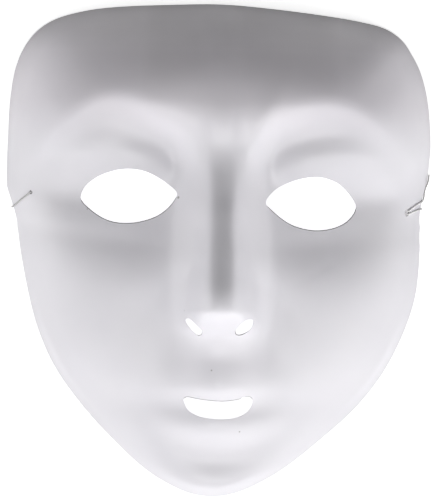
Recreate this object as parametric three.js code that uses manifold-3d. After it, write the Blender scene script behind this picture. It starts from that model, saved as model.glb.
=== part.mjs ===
// Blank full-face mask drawn from one thin sheet of white plastic, with its elastic strap.
// Millimetres. The mask lies face up on its rim: +Z leaves the face, +Y points to the forehead,
// +X to the right of somebody looking at the face. The rim lies in the plane Z = 0.
import * as THREE from 'three';
import { mergeVertices } from 'three/addons/utils/BufferGeometryUtils.js';
import Module from 'manifold-3d';

const wasm = await Module();
wasm.setup();

// Driving dimensions of the sheet.
const WALL = 0.8;
const RINGS = 22;
const EDGE_BAND = 0.05;
const CUTTER_TOP = 90;

// The trimmed outline seen from the front, clockwise from the middle of the forehead. The left
// and right halves differ a little, as the hand-trimmed edge does.
const OUTLINE = [
  [0, 98.4], [21, 96.9], [42, 94.5], [55, 92.5], [65.5, 89.8], [72, 85.6], [76.4, 79.6], [80.4, 71.5],
  [83.2, 60], [84.5, 44], [84.2, 37.5], [83.6, 31.6], [82.95, 26], [82.6, 22.5], [81.9, 18], [81.1, 13.5],
  [80.7, 7.5], [80.9, 1], [79.4, -17], [74.4, -33], [66.6, -48.4], [56, -62.2], [43, -74.4],
  [28.2, -86.6], [19, -92.3], [9.5, -96.6], [0, -98.4],
  [-9.5, -97.2], [-19.5, -92.9], [-28.3, -87.2], [-42.7, -74], [-54.7, -60.8], [-64.6, -47], [-71.5, -31.9],
  [-75.8, -16.1], [-79, 0], [-80.3, 8.5], [-82.8, 16], [-84.4, 22], [-84.8, 28], [-84.6, 44], [-83.9, 60],
  [-81.8, 72.5], [-78, 81.2], [-73, 87.2], [-66.4, 91.4], [-54.7, 94.9], [-43, 96.6], [-21, 97.9],
];

// The dome of the head. round and power shape the fall from the middle to the rim, in four
// directions; reach leaves the last steep part of the fall beyond the trimmed edge.
const DOME = {
  height: 33.5, reach: 0.985,
  chin: { round: 1.5, power: 0.57 },
  jaw: { round: 1.7, power: 0.81 },
  side: { round: 3.1, power: 0.73 },
  top: { round: 7.2, power: 1.3 },
};
const JAW_DIRECTION = -0.72;

// The features, mirrored about a midline that bends to the right by MIDLINE.shift. The brows and
// the creases under them have a left and a right value.
const CREST = 0.9;
const MIDLINE = { shift: 1.9, y: -19, spread: 79 };
const BROW = {
  x: 17.9, yLeft: 59.4, yRight: 58.3, heightLeft: 8.1, heightRight: 7.3, halfLength: 54.8, arch: 4.4,
  upper: 22, lowerLeft: 18, lowerRight: 17.7, edge: 2.08,
};
const ORBIT = {
  depth: 11.3, x: 23.8, y: 28.4, inner: 14.6, outer: 41.6,
  upperLeft: 17.5, upperRight: 18.5, lower: 43, edge: 3.12,
};
const CREASE = {
  depthLeft: 3.3, depthRight: 3.5, x: 41.5, yLeft: 50.8, yRight: 49.2, archLeft: 8.8, archRight: 6.6,
  halfLength: 24.5, upper: 6.7, lower: 7.9, edge: 2.32,
};
const EYEBALL = { height: 5.8, x: 34, y: 34.6, width: 17.7, length: 8.4 };
const NOSE = {
  height: 20.2, root: 20, rootSoft: 6.6, tip: -24, foot: -33, tipSoft: 0.12,
  ridge: 6.4, base: 11.6, edge: 4.4,
};
const NOSE_TIP = { height: 2.5, y: -19.8, width: 12.7 };
const NOSE_WING = { height: 2.5, x: 8, y: -29, width: 4, length: 4 };
const NOSE_FLANK = { height: 7, width: 15.9, upper: 42.1, lower: -44.2 };
const CHEEK = { height: 2.8, x: 56.4, y: -42.4, width: 23.2, length: 19 };
const MUZZLE = { height: 5.2, y: -53.2, width: 13.5, length: 10.9 };
const FOLD = { depth: 3, x: 18.5, y: -30.7, width: 9.2, length: 20, lean: -0.06 };
const LIP_VALLEY = { depth: 3.8, y: -60, width: 25.3, length: 6.2 };
const CHIN_VALLEY = { depth: 3.7, y: -81.5, width: 22.2, length: 7.9, arch: 0.016 };
const CHIN = { height: 2.8, y: -95.6, width: 30.8, length: 8.9 };
const SOCKET_RIM = { heightLeft: 0.3, heightRight: 2.9, x: 12.2, y: 38, width: 5, length: 16.8, lean: 0.38 };
const TEMPLE_HOLLOW = { depth: 3.3, x: 61.1, y: 20.8, width: 16, length: 9.7 };
const GLABELLA = { depth: 1.0, y: 60.4, width: 17.7, length: 9.7 };
const UPPER_LIP = { height: 1.4, y: -55.2, width: 15.6, length: 3.4 };
const LOWER_LIP = { height: 1.3, y: -70.6, width: 17.1, length: 4.6 };

// Openings, as outlines seen from the front.
const LEFT_EYE = [
  [-16.2, 21.9], [-19.6, 25.4], [-28, 30.1], [-36, 31.2], [-46, 28.7], [-52.5, 24], [-54, 19.2],
  [-50.5, 15.2], [-42.8, 10.7], [-33.2, 10], [-23.3, 13.1], [-17.8, 18],
];
const RIGHT_EYE = [
  [18.6, 18.8], [21.5, 23.4], [29, 27.5], [38, 29.3], [46, 27.4], [51.6, 22.6], [54.2, 17.6],
  [51.8, 13], [46.4, 9.6], [38, 8.2], [28.6, 10.3], [21.8, 15],
];
const MOUTH = [
  [-12.3, -58.4], [-11.2, -57.4], [-6.6, -58], [-1.9, -58.5], [3.5, -58.7], [9.8, -57.8], [12.2, -56.9],
  [14.2, -57.2], [14.8, -58.8], [13.6, -62.2], [10.6, -64.6], [6, -65.9], [-1, -66], [-6.8, -64.9],
  [-10.4, -62.8],
];
const NOSTRIL_LEFT = [
  [-11.9, -27.2], [-11, -26.4], [-9.4, -27.2], [-5.5, -31.3], [-5.6, -32.6], [-6.8, -33.1], [-10.5, -29.7],
];
const NOSTRIL_RIGHT = [
  [12.4, -26.3], [14.1, -26.7], [14.3, -27.8], [12.6, -30.9], [9.3, -32.7], [7.7, -32.4], [7.4, -31.2],
  [9.6, -28],
];

// Each temple has a hole for the elastic, and the trimmed edge arches up beside it.
const TEMPLE_LEFT = { x: -74.1, y: 21.7, hole: 0.85, archY: 16.2, archHeight: 2.2, archHalf: 8 };
const TEMPLE_RIGHT = { x: 74.9, y: 16.2, hole: 1.35, archY: 19.8, archHeight: 2.3, archHalf: 9 };

// The elastic: a round cord of 0.8 mm. Its end goes out through the temple hole, over the outer face,
// round the edge and back to a knot behind the hole. On the right a second strand comes out of the hole
// and lies with its loose end along the foot of the rim.
const CORD = 0.8;
const CORD_GAP = 0.3;
const KNOT_RADIUS = 1.7;
const STRAND_SPREAD = 1.2;
const LOOSE_END = [
  [82.2, 22.4, 1.85], [82.45, 24.2, 0.85], [82.92, 26.2, 0.5],
  [83.84, 28.6, 0.5], [84.15, 30.5, 0.5], [84.3, 31.8, 0.5],
];
const CORD_SIDES = 8;
const CORD_STEP = 3.3;

// The loose strap between the two knots. It drops from each knot to the surface under the mask and
// lies there in two slack waves behind the forehead.
const STRAP_ROUTE = [
  [-73.2, 22.9, 7.3], [-70.9, 26.1, 3.5], [-69.7, 30.3, 1.2], [-69, 35.5, 0.5], [-66.6, 46.5, 0.5],
  [-61, 60, 0.5], [-51, 71, 0.5], [-39, 75, 0.5], [-28.5, 69, 0.5], [-21, 59, 0.5], [-12, 52, 0.5],
  [0, 50, 0.5], [12, 54, 0.5], [21, 64, 0.5], [30, 75, 0.5], [42, 79, 0.5], [54, 73, 0.5],
  [62, 61, 0.5], [67, 47, 0.5], [69.6, 34, 0.5], [70.6, 27, 0.7], [72.1, 22.1, 1.8], [73.95, 17.9, 3.2],
];

const clamp = (value, low, high) => Math.min(Math.max(value, low), high);
const bell = (a, b, width, length) => Math.exp(-((a / width) ** 2) - (b / length) ** 2);
const softPositive = (value, width) => 0.5 * (value + Math.hypot(value, width));
const mix = (from, to, share) => from + (to - from) * share;

function ease(value) {
  const t = clamp(value, 0, 1);
  return t * t * (3 - 2 * t);
}

// Distance of the trimmed edge from the middle, in the direction of an angle.
const outlineCurve = new THREE.CatmullRomCurve3(
  OUTLINE.map(([x, y]) => new THREE.Vector3(x, y, 0)), true, 'centripetal',
);
const outlineSamples = outlineCurve
  .getPoints(OUTLINE.length * 16)
  .slice(1)
  .map((p) => [Math.atan2(p.y, p.x), Math.hypot(p.x, p.y)])
  .sort((a, b) => a[0] - b[0]);

function edgeRadius(angle) {
  const count = outlineSamples.length;
  let high = outlineSamples.findIndex(([a]) => a > angle);
  if (high < 0) high = 0;
  const low = (high + count - 1) % count;
  const [a0, r0] = outlineSamples[low];
  const [a1, r1] = outlineSamples[high];
  const turn = 2 * Math.PI;
  const span = (a1 - a0 + turn) % turn;
  return mix(r0, r1, ((angle - a0 + turn) % turn) / span);
}

// A dome setting in the direction whose sine is s: chin, jaw, side or top, mixed smoothly.
function domeSetting(s, key) {
  const lower = mix(DOME.chin[key], DOME.jaw[key], ease((s + 1) / (JAW_DIRECTION + 1)));
  const middle = lower + (DOME.side[key] - DOME.jaw[key]) * ease((s - JAW_DIRECTION) / -JAW_DIRECTION);
  return middle + (DOME.top[key] - DOME.side[key]) * ease(s);
}

function domeHeight(share, s) {
  const round = domeSetting(s, 'round');
  const power = domeSetting(s, 'power');
  const rise = (r) => (1 - r ** round) ** power;
  const atEdge = rise(DOME.reach);
  return (DOME.height * (rise(share * DOME.reach) - atEdge)) / (1 - atEdge);
}

function noseHeight(across, y) {
  const length = NOSE.root - NOSE.tip;
  const along = NOSE.root - y;
  const rise = softPositive(along, NOSE.rootSoft) / length;
  const fall = (y - NOSE.foot) / (NOSE.tip - NOSE.foot);
  const profile = softPositive(0.5 * (rise + fall - Math.hypot(rise - fall, NOSE.tipSoft)), 0.08);
  const width = mix(NOSE.ridge, NOSE.base, clamp(along / length, 0, 1.3));
  return NOSE.height * profile * Math.exp(-((across / width) ** NOSE.edge));
}

function featureHeight(faceX, y) {
  const x = faceX - MIDLINE.shift * Math.exp(-(((y - MIDLINE.y) / MIDLINE.spread) ** 2));
  const across = Math.hypot(x, 0.5);
  const right = ease((x + 20) / 40);
  let z = 0;

  const browY = mix(BROW.yLeft, BROW.yRight, right) - BROW.arch * ((across - BROW.x) / 30) ** 2;
  const overBrow = y - browY;
  const browWidth = mix(mix(BROW.lowerLeft, BROW.lowerRight, right), BROW.upper, ease((overBrow + 5) / 10));
  z += mix(BROW.heightLeft, BROW.heightRight, right) * Math.exp(-(((across - BROW.x) / BROW.halfLength) ** 2))
    * Math.exp(-((Math.hypot(overBrow, CREST) / browWidth) ** BROW.edge));

  const orbitX = across - ORBIT.x;
  const orbitY = y - ORBIT.y;
  const orbitWidth = mix(ORBIT.inner, ORBIT.outer, ease((orbitX + 8) / 16));
  const orbitUpper = mix(ORBIT.upperLeft, ORBIT.upperRight, right);
  const orbitLength = mix(ORBIT.lower, orbitUpper, ease((orbitY + 10) / 20));
  z -= ORBIT.depth * Math.exp(-(Math.hypot(orbitX / orbitWidth, orbitY / orbitLength) ** ORBIT.edge));

  const creaseArch = mix(CREASE.archLeft, CREASE.archRight, right) * ((across - CREASE.x) / 20) ** 2;
  const overCrease = y - mix(CREASE.yLeft, CREASE.yRight, right) + creaseArch;
  const creaseWidth = mix(CREASE.lower, CREASE.upper, ease((overCrease + 2) / 4));
  z -= mix(CREASE.depthLeft, CREASE.depthRight, right)
    * Math.exp(-(((across - CREASE.x) / CREASE.halfLength) ** 2))
    * Math.exp(-((Math.hypot(overCrease, CREST) / creaseWidth) ** CREASE.edge));

  z += EYEBALL.height * bell(across - EYEBALL.x, y - EYEBALL.y, EYEBALL.width, EYEBALL.length);
  z += noseHeight(across, y);
  z += NOSE_TIP.height * bell(x, y - NOSE_TIP.y, NOSE_TIP.width, NOSE_TIP.width);
  z += NOSE_WING.height * bell(across - NOSE_WING.x, y - NOSE_WING.y, NOSE_WING.width, NOSE_WING.length);
  z += NOSE_FLANK.height * Math.exp(-((across / NOSE_FLANK.width) ** 2))
    * ease((NOSE_FLANK.upper - y) / 30) * ease((y - NOSE_FLANK.lower) / 30);
  z += CHEEK.height * bell(across - CHEEK.x, y - CHEEK.y, CHEEK.width, CHEEK.length);
  z += MUZZLE.height * bell(x, y - MUZZLE.y, MUZZLE.width, MUZZLE.length);

  const overFold = y - FOLD.y;
  z -= FOLD.depth * bell(across - FOLD.x + FOLD.lean * overFold, overFold, FOLD.width, FOLD.length);
  z -= LIP_VALLEY.depth * bell(x, y - LIP_VALLEY.y, LIP_VALLEY.width, LIP_VALLEY.length);
  z -= CHIN_VALLEY.depth
    * bell(x, y - CHIN_VALLEY.y - CHIN_VALLEY.arch * x * x, CHIN_VALLEY.width, CHIN_VALLEY.length);
  z += CHIN.height * bell(x, y - CHIN.y, CHIN.width, CHIN.length);

  const overRim = y - SOCKET_RIM.y;
  z += mix(SOCKET_RIM.heightLeft, SOCKET_RIM.heightRight, right)
    * bell(across - SOCKET_RIM.x - SOCKET_RIM.lean * overRim, overRim, SOCKET_RIM.width, SOCKET_RIM.length);
  z -= TEMPLE_HOLLOW.depth
    * bell(across - TEMPLE_HOLLOW.x, y - TEMPLE_HOLLOW.y, TEMPLE_HOLLOW.width, TEMPLE_HOLLOW.length);
  z -= GLABELLA.depth * bell(x, y - GLABELLA.y, GLABELLA.width, GLABELLA.length);
  z += UPPER_LIP.height * bell(x, y - UPPER_LIP.y, UPPER_LIP.width, UPPER_LIP.length);
  z += LOWER_LIP.height * bell(x, y - LOWER_LIP.y, LOWER_LIP.width, LOWER_LIP.length);
  return z;
}

// Height of the outer face over a point of the plan. The features fade out at the trimmed edge.
function faceHeight(x, y) {
  const radius = Math.hypot(x, y);
  const share = clamp(radius / edgeRadius(Math.atan2(y, x)), 0, 1);
  const fade = ease((1 - share) / EDGE_BAND);
  return domeHeight(share, radius > 0 ? y / radius : 0) + featureHeight(x, y) * fade;
}

function faceNormal(x, y) {
  const step = 0.2;
  const slopeX = (faceHeight(x + step, y) - faceHeight(x - step, y)) / (2 * step);
  const slopeY = (faceHeight(x, y + step) - faceHeight(x, y - step)) / (2 * step);
  return new THREE.Vector3(-slopeX, -slopeY, 1).normalize();
}

// The point at a distance over the outer face; a negative distance lies inside the sheet or behind it.
function overFace(x, y, distance) {
  return new THREE.Vector3(x, y, faceHeight(x, y)).addScaledVector(faceNormal(x, y), distance);
}

// A disc of rings, ring k with 6 k points, and the triangles between them.
function discGrid(rings) {
  const points = [{ share: 0, angle: 0 }];
  const starts = [0];
  for (let k = 1; k <= rings; k += 1) {
    starts.push(points.length);
    for (let j = 0; j < 6 * k; j += 1) points.push({ share: k / rings, angle: (2 * Math.PI * j) / (6 * k) });
  }
  const at = (k, j) => (k === 0 ? 0 : starts[k] + (j % (6 * k)));
  const triangles = [];
  for (let k = 1; k <= rings; k += 1) {
    for (let sector = 0; sector < 6; sector += 1) {
      for (let j = 0; j < k; j += 1) {
        const outer = sector * k + j;
        const inner = sector * (k - 1) + j;
        triangles.push([at(k, outer), at(k, outer + 1), at(k - 1, inner)]);
        if (j < k - 1) triangles.push([at(k - 1, inner), at(k, outer + 1), at(k - 1, inner + 1)]);
      }
    }
  }
  return { points, triangles, rimStart: starts[rings], rimCount: 6 * rings };
}

// The whole sheet before it is pierced: the outer face, the inner face one wall behind it, and the rim.
function sheetGeometry() {
  const { points, triangles, rimStart, rimCount } = discGrid(RINGS);
  const outer = points.map(({ share, angle }) => {
    const reach = edgeRadius(angle > Math.PI ? angle - 2 * Math.PI : angle) * share;
    const x = reach * Math.cos(angle);
    const y = reach * Math.sin(angle);
    return new THREE.Vector3(x, y, share === 1 ? 0 : faceHeight(x, y));
  });
  const inner = outer.map((p, i) => {
    if (i < rimStart) return overFace(p.x, p.y, -WALL);
    const normal = faceNormal(p.x * 0.995, p.y * 0.995);
    const level = Math.hypot(normal.x, normal.y);
    const inset = WALL / level / level;
    return new THREE.Vector3(p.x - normal.x * inset, p.y - normal.y * inset, 0);
  });
  const index = [];
  for (const [a, b, c] of triangles) {
    index.push(a, b, c, a + outer.length, c + outer.length, b + outer.length);
  }
  for (let j = 0; j < rimCount; j += 1) {
    const a = rimStart + j;
    const b = rimStart + ((j + 1) % rimCount);
    index.push(a, a + outer.length, b, b, a + outer.length, b + outer.length);
  }
  const positions = [...outer, ...inner].flatMap((p) => p.toArray());
  const geometry = new THREE.BufferGeometry();
  geometry.setAttribute('position', new THREE.Float32BufferAttribute(positions, 3));
  geometry.setIndex(index);
  return geometry;
}

function toSolid(geometry) {
  const bare = geometry.clone();
  bare.deleteAttribute('normal');
  bare.deleteAttribute('uv');
  const merged = mergeVertices(bare, 1e-4);
  return new wasm.Manifold(new wasm.Mesh({
    numProp: 3,
    vertProperties: new Float32Array(merged.attributes.position.array),
    triVerts: new Uint32Array(merged.index.array),
  }));
}

function toGeometry(solid) {
  const mesh = solid.getMesh();
  const geometry = new THREE.BufferGeometry();
  geometry.setAttribute('position', new THREE.BufferAttribute(new Float32Array(mesh.vertProperties), 3));
  geometry.setIndex(new THREE.BufferAttribute(new Uint32Array(mesh.triVerts), 1));
  const flat = geometry.toNonIndexed();
  flat.computeVertexNormals();
  return flat;
}

// A straight cutter along Z with the plan of a shape.
function planCutter(shape, curveSegments = 6) {
  const settings = { depth: CUTTER_TOP, bevelEnabled: false, curveSegments, steps: 1 };
  return toSolid(new THREE.ExtrudeGeometry(shape, settings));
}

function roundedShape(points, samples) {
  const corners = points.map(([x, y]) => new THREE.Vector3(x, y, 0));
  const curve = new THREE.CatmullRomCurve3(corners, true, 'centripetal');
  return new THREE.Shape(curve.getPoints(samples).slice(1).map((p) => new THREE.Vector2(p.x, p.y)));
}

function templeHoleCutter({ x, y, hole }) {
  const geometry = new THREE.CylinderGeometry(hole, hole, 8, 12);
  const turn = new THREE.Quaternion().setFromUnitVectors(new THREE.Vector3(0, 1, 0), faceNormal(x, y));
  const place = overFace(x, y, -WALL / 2);
  geometry.applyMatrix4(new THREE.Matrix4().compose(place, turn, new THREE.Vector3(1, 1, 1)));
  return toSolid(geometry);
}

// A round cutter lying along X that leaves a low arch in the trimmed edge.
function templeArchCutter({ x, archY, archHeight, archHalf }) {
  const radius = (archHalf ** 2 + archHeight ** 2) / (2 * archHeight);
  const geometry = new THREE.CylinderGeometry(radius, radius, 24, 128);
  geometry.rotateZ(Math.PI / 2);
  geometry.translate(x + Math.sign(x) * 12, archY, archHeight - radius);
  return toSolid(geometry);
}

function maskShellGeometry() {
  const cutters = [
    planCutter(roundedShape(LEFT_EYE, 26)),
    planCutter(roundedShape(RIGHT_EYE, 26)),
    planCutter(roundedShape(MOUTH, 26)),
    planCutter(roundedShape(NOSTRIL_LEFT, 14)),
    planCutter(roundedShape(NOSTRIL_RIGHT, 14)),
    templeHoleCutter(TEMPLE_LEFT),
    templeHoleCutter(TEMPLE_RIGHT),
    templeArchCutter(TEMPLE_LEFT),
    templeArchCutter(TEMPLE_RIGHT),
  ];
  return toGeometry(cutters.reduce((sheet, cutter) => sheet.subtract(cutter), toSolid(sheetGeometry())));
}

// A tube of cord along a list of points.
function cordGeometry(points, step = CORD_STEP) {
  const curve = new THREE.CatmullRomCurve3(points, false, 'centripetal');
  const section = new THREE.Shape();
  for (let side = 0; side < CORD_SIDES; side += 1) {
    const angle = (2 * Math.PI * side) / CORD_SIDES;
    const corner = [(CORD / 2) * Math.cos(angle), (CORD / 2) * Math.sin(angle)];
    if (side === 0) section.moveTo(...corner);
    else section.lineTo(...corner);
  }
  const steps = Math.ceil(curve.getLength() / step);
  return new THREE.ExtrudeGeometry(section, { extrudePath: curve, steps, bevelEnabled: false });
}

// The knot is straight below its hole, clear of the wall's inner face.
function knotPlace({ x, y }) {
  const clear = WALL + CORD_GAP + KNOT_RADIUS + 0.25;
  return new THREE.Vector3(x, y, faceHeight(x, y) - clear / faceNormal(x, y).z);
}

// Height of the arched edge at y, and the plan x where the outer face comes down to it.
function edgeAt(temple, y) {
  const radius = (temple.archHalf ** 2 + temple.archHeight ** 2) / (2 * temple.archHeight);
  const height = temple.archHeight - radius + Math.sqrt(radius ** 2 - (y - temple.archY) ** 2);
  let low = Math.abs(temple.x);
  let high = low + 12;
  for (let i = 0; i < 30; i += 1) {
    const middle = (low + high) / 2;
    if (faceHeight(Math.sign(temple.x) * middle, y) > height) low = middle;
    else high = middle;
  }
  return { x: Math.sign(temple.x) * low, height };
}

// One strand: out of the temple hole, over the outer face, round the edge at edgeY, and back behind the
// wall to the knot, which it reaches from the point knotSide.
function strandPoints(temple, edgeY, shift, knotSide) {
  const lift = CORD / 2 + CORD_GAP;
  const turn = lift + 0.3;
  const holeY = temple.y + shift;
  const edge = edgeAt(temple, edgeY);
  const way = Math.sign(temple.x);
  const along = (share) => [mix(temple.x, edge.x, share), mix(holeY, edgeY, share)];
  const normal = faceNormal(edge.x - way * 0.5, edgeY);
  const upslope = new THREE.Vector3(-way * normal.z, 0, Math.abs(normal.x)).normalize();
  const outerEdge = new THREE.Vector3(edge.x, edgeY, edge.height);
  const innerEdge = outerEdge.clone().add(new THREE.Vector3((-way * WALL) / Math.abs(normal.x), 0, 0));
  const beside = (point, x, z) => point.clone().add(new THREE.Vector3(way * turn * x, 0, turn * z));
  const knot = knotPlace(temple);
  const fromKnot = knotSide.clone().sub(knot).setLength(KNOT_RADIUS + CORD_GAP);
  return [
    overFace(temple.x, holeY, -WALL + 0.1),
    overFace(temple.x, holeY, 0.35),
    overFace(...along(0.14), lift + 0.1),
    overFace(...along(0.4), lift),
    overFace(...along(0.75), lift),
    outerEdge.clone().addScaledVector(normal, turn).addScaledVector(upslope, 0.5),
    beside(outerEdge, 0.5, -0.85),
    beside(outerEdge.clone().lerp(innerEdge, 0.5), 0, -1.05),
    beside(innerEdge, -0.85, -0.5),
    innerEdge.clone().addScaledVector(normal, -turn - 0.25).addScaledVector(upslope, 1.2),
    knotSide,
    knot.clone().add(fromKnot),
  ];
}

// The loose strand: out of the temple hole, over the outer face and the edge, and along the rim's foot.
function looseStrandPoints(temple, edgeY, shift) {
  const lift = CORD / 2 + CORD_GAP;
  const holeY = temple.y + shift;
  const edge = edgeAt(temple, edgeY);
  const along = (share) => [mix(temple.x, edge.x, share), mix(holeY, edgeY, share)];
  return [
    overFace(temple.x, holeY, -WALL + 0.1),
    overFace(temple.x, holeY, 0.35),
    overFace(...along(0.14), lift + 0.1),
    overFace(...along(0.4), lift),
    overFace(...along(0.7), lift),
    overFace(...along(1), lift),
    ...LOOSE_END.map((point) => new THREE.Vector3(...point)),
  ];
}

function knotGeometry() {
  return new THREE.SphereGeometry(KNOT_RADIUS, 10, 7);
}

const plastic = () => new THREE.MeshStandardMaterial({ color: 0xeeeef2, roughness: 0.45, metalness: 0 });
const elastic = () => new THREE.MeshStandardMaterial({ color: 0xf2f2f0, roughness: 0.8, metalness: 0 });

const group = new THREE.Group();

function addPiece(name, geometry, material, place) {
  const mesh = new THREE.Mesh(geometry, material);
  mesh.name = name;
  if (place) mesh.position.copy(place);
  group.add(mesh);
  return mesh;
}

const knotLeft = knotPlace(TEMPLE_LEFT);
const knotRight = knotPlace(TEMPLE_RIGHT);
const knotSideLeft = knotLeft.clone().add(new THREE.Vector3(-1.6, -2.6, -1.6));
const knotSideRight = knotRight.clone().add(new THREE.Vector3(2.2, -1.2, -1.2));
const strandStep = 1.4;

addPiece('mask_shell', maskShellGeometry(), plastic());
addPiece('strap_knot_left', knotGeometry(), elastic(), knotLeft);
addPiece('strap_knot_right', knotGeometry(), elastic(), knotRight);
addPiece(
  'strap_loop_left',
  cordGeometry(strandPoints(TEMPLE_LEFT, 16.2, 0, knotSideLeft), strandStep),
  elastic(),
);
addPiece(
  'strap_loop_right_lower',
  cordGeometry(strandPoints(TEMPLE_RIGHT, 18, -STRAND_SPREAD / 2, knotSideRight), strandStep),
  elastic(),
);
addPiece(
  'strap_loop_right_upper',
  cordGeometry(looseStrandPoints(TEMPLE_RIGHT, 21.2, STRAND_SPREAD / 2), strandStep),
  elastic(),
);
addPiece('elastic_strap', cordGeometry(STRAP_ROUTE.map((p) => new THREE.Vector3(...p))), elastic());

export default group;
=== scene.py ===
"""Blank full-face mask of thin white sheet, lying face up on a pale floor, seen from straight above.

The shape is worked out in millimetres from the same named dimensions as the solids and is handed
to Blender in metres.
"""
from math import cos, pi, radians, sin, sqrt

import bpy
import numpy as np
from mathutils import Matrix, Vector
from mathutils.geometry import delaunay_2d_cdt


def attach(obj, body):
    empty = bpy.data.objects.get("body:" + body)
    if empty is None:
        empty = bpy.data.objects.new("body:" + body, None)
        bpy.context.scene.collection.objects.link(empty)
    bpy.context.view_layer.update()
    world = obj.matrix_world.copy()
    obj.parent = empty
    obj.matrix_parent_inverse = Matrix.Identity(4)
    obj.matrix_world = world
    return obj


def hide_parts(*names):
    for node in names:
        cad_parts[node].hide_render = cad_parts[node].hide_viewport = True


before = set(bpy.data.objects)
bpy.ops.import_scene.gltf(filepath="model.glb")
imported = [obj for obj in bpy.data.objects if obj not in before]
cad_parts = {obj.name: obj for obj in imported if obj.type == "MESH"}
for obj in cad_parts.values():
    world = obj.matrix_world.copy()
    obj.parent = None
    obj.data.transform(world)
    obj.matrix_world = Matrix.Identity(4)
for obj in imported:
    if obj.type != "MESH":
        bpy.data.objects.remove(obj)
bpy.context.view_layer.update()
MM = 0.001

# The camera looks straight down from a metre, turned by one degree, and its frame is 200 mm high.
CAMERA_HEIGHT = 1.0
CAMERA_TURN = radians(1.0)
CAMERA_AIM = (0.0002, 0.0002)
FRAME_HEIGHT = 0.200
SENSOR = 36.0

# The sheet's thickness, and the share of its radius over which the features fade out at the rim.
WALL = 0.8
EDGE_BAND = 0.05
# The spacing of its mesh: inside, along the rim, and along the edges of the eyes, the mouth and the
# nostrils. The inside is laid out over a plan that reaches a little beyond the mask.
MESH_STEP = 1.0
EDGE_STEP = 0.7
HOLE_STEPS = (0.6, 0.6, 0.5, 0.3, 0.3)
PLAN_HALF = (86, 100)
# Distances to an outline are measured to points this far apart, for so many places at a time.
FINE_STEP = 0.25
BATCH = 4000
# How often a search for a place on the edge halves its stretch.
HALVINGS = 30
# The burr that the punch left at the back of each opening: how far it stands out, and which way.
BURRS = ((0.35, (0, 1)), (0.35, (-0.3, 0.95)), (0.35, (0, -1)), (0.2, (-0.6, 0.8)), (0.3, (0.6, 0.8)))

# The trimmed outline seen from the front, clockwise from the middle of the forehead.
OUTLINE = [
    (0, 98.4), (21, 96.9), (42, 94.5), (55, 92.5), (65.5, 89.8), (72, 85.6), (76.4, 79.6), (80.4, 71.5),
    (83.2, 60), (84.5, 44), (84.2, 37.5), (83.6, 31.6), (82.95, 26), (82.6, 22.5), (81.9, 18), (81.1, 13.5),
    (80.7, 7.5), (80.9, 1), (79.4, -17), (74.4, -33), (66.6, -48.4), (56, -62.2), (43, -74.4),
    (28.2, -86.6), (19, -92.3), (9.5, -96.6), (0, -98.4),
    (-9.5, -97.2), (-19.5, -92.9), (-28.3, -87.2), (-42.7, -74), (-54.7, -60.8), (-64.6, -47), (-71.5, -31.9),
    (-75.8, -16.1), (-79, 0), (-80.3, 8.5), (-82.8, 16), (-84.4, 22), (-84.8, 28), (-84.6, 44), (-83.9, 60),
    (-81.8, 72.5), (-78, 81.2), (-73, 87.2), (-66.4, 91.4), (-54.7, 94.9), (-43, 96.6), (-21, 97.9),
]

# The dome of the head: how round its shoulder is and how hard it falls, in four directions.
DOME_HEIGHT = 33.5
DOME_REACH = 0.985
DOME_ROUND = {"chin": 1.5, "jaw": 1.7, "side": 3.1, "top": 7.2}
DOME_POWER = {"chin": 0.57, "jaw": 0.81, "side": 0.73, "top": 1.3}
JAW_DIRECTION = -0.72

# The features, mirrored about a midline that bends a little to the right.
CREST = 0.9
MIDLINE = dict(shift=1.9, y=-19, spread=79)
BROW = dict(x=17.9, y_left=59.4, y_right=58.3, height_left=8.1, height_right=7.3, half_length=54.8,
            arch=4.4, upper=22, lower_left=18, lower_right=17.7, edge=2.08)
ORBIT = dict(depth=11.3, x=23.8, y=28.4, inner=14.6, outer=41.6, upper_left=17.5, upper_right=18.5,
             lower=43, edge=3.12)
CREASE = dict(depth_left=3.3, depth_right=3.5, x=41.5, y_left=50.8, y_right=49.2, arch_left=8.8,
              arch_right=6.6, half_length=24.5, upper=6.7, lower=7.9, edge=2.32)
EYEBALL = dict(height=5.8, x=34, y=34.6, width=17.7, length=8.4)
NOSE = dict(height=20.2, root=20, root_soft=6.6, tip=-24, foot=-33, tip_soft=0.12, ridge=6.4, base=11.6,
            edge=4.4)
NOSE_TIP = dict(height=2.5, y=-19.8, width=12.7)
NOSE_WING = dict(height=2.5, x=8, y=-29, width=4, length=4)
NOSE_FLANK = dict(height=7, width=15.9, upper=42.1, lower=-44.2)
CHEEK = dict(height=2.8, x=56.4, y=-42.4, width=23.2, length=19)
MUZZLE = dict(height=5.2, y=-53.2, width=13.5, length=10.9)
FOLD = dict(depth=3, x=18.5, y=-30.7, width=9.2, length=20, lean=-0.06)
LIP_VALLEY = dict(depth=3.8, y=-60, width=25.3, length=6.2)
CHIN_VALLEY = dict(depth=3.7, y=-81.5, width=22.2, length=7.9, arch=0.016)
CHIN = dict(height=2.8, y=-95.6, width=30.8, length=8.9)
SOCKET_RIM = dict(height_left=0.3, height_right=2.9, x=12.2, y=38, width=5, length=16.8, lean=0.38)
TEMPLE_HOLLOW = dict(depth=3.3, x=61.1, y=20.8, width=16, length=9.7)
GLABELLA = dict(depth=1.0, y=60.4, width=17.7, length=9.7)
UPPER_LIP = dict(height=1.4, y=-55.2, width=15.6, length=3.4)
LOWER_LIP = dict(height=1.3, y=-70.6, width=17.1, length=4.6)

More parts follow.
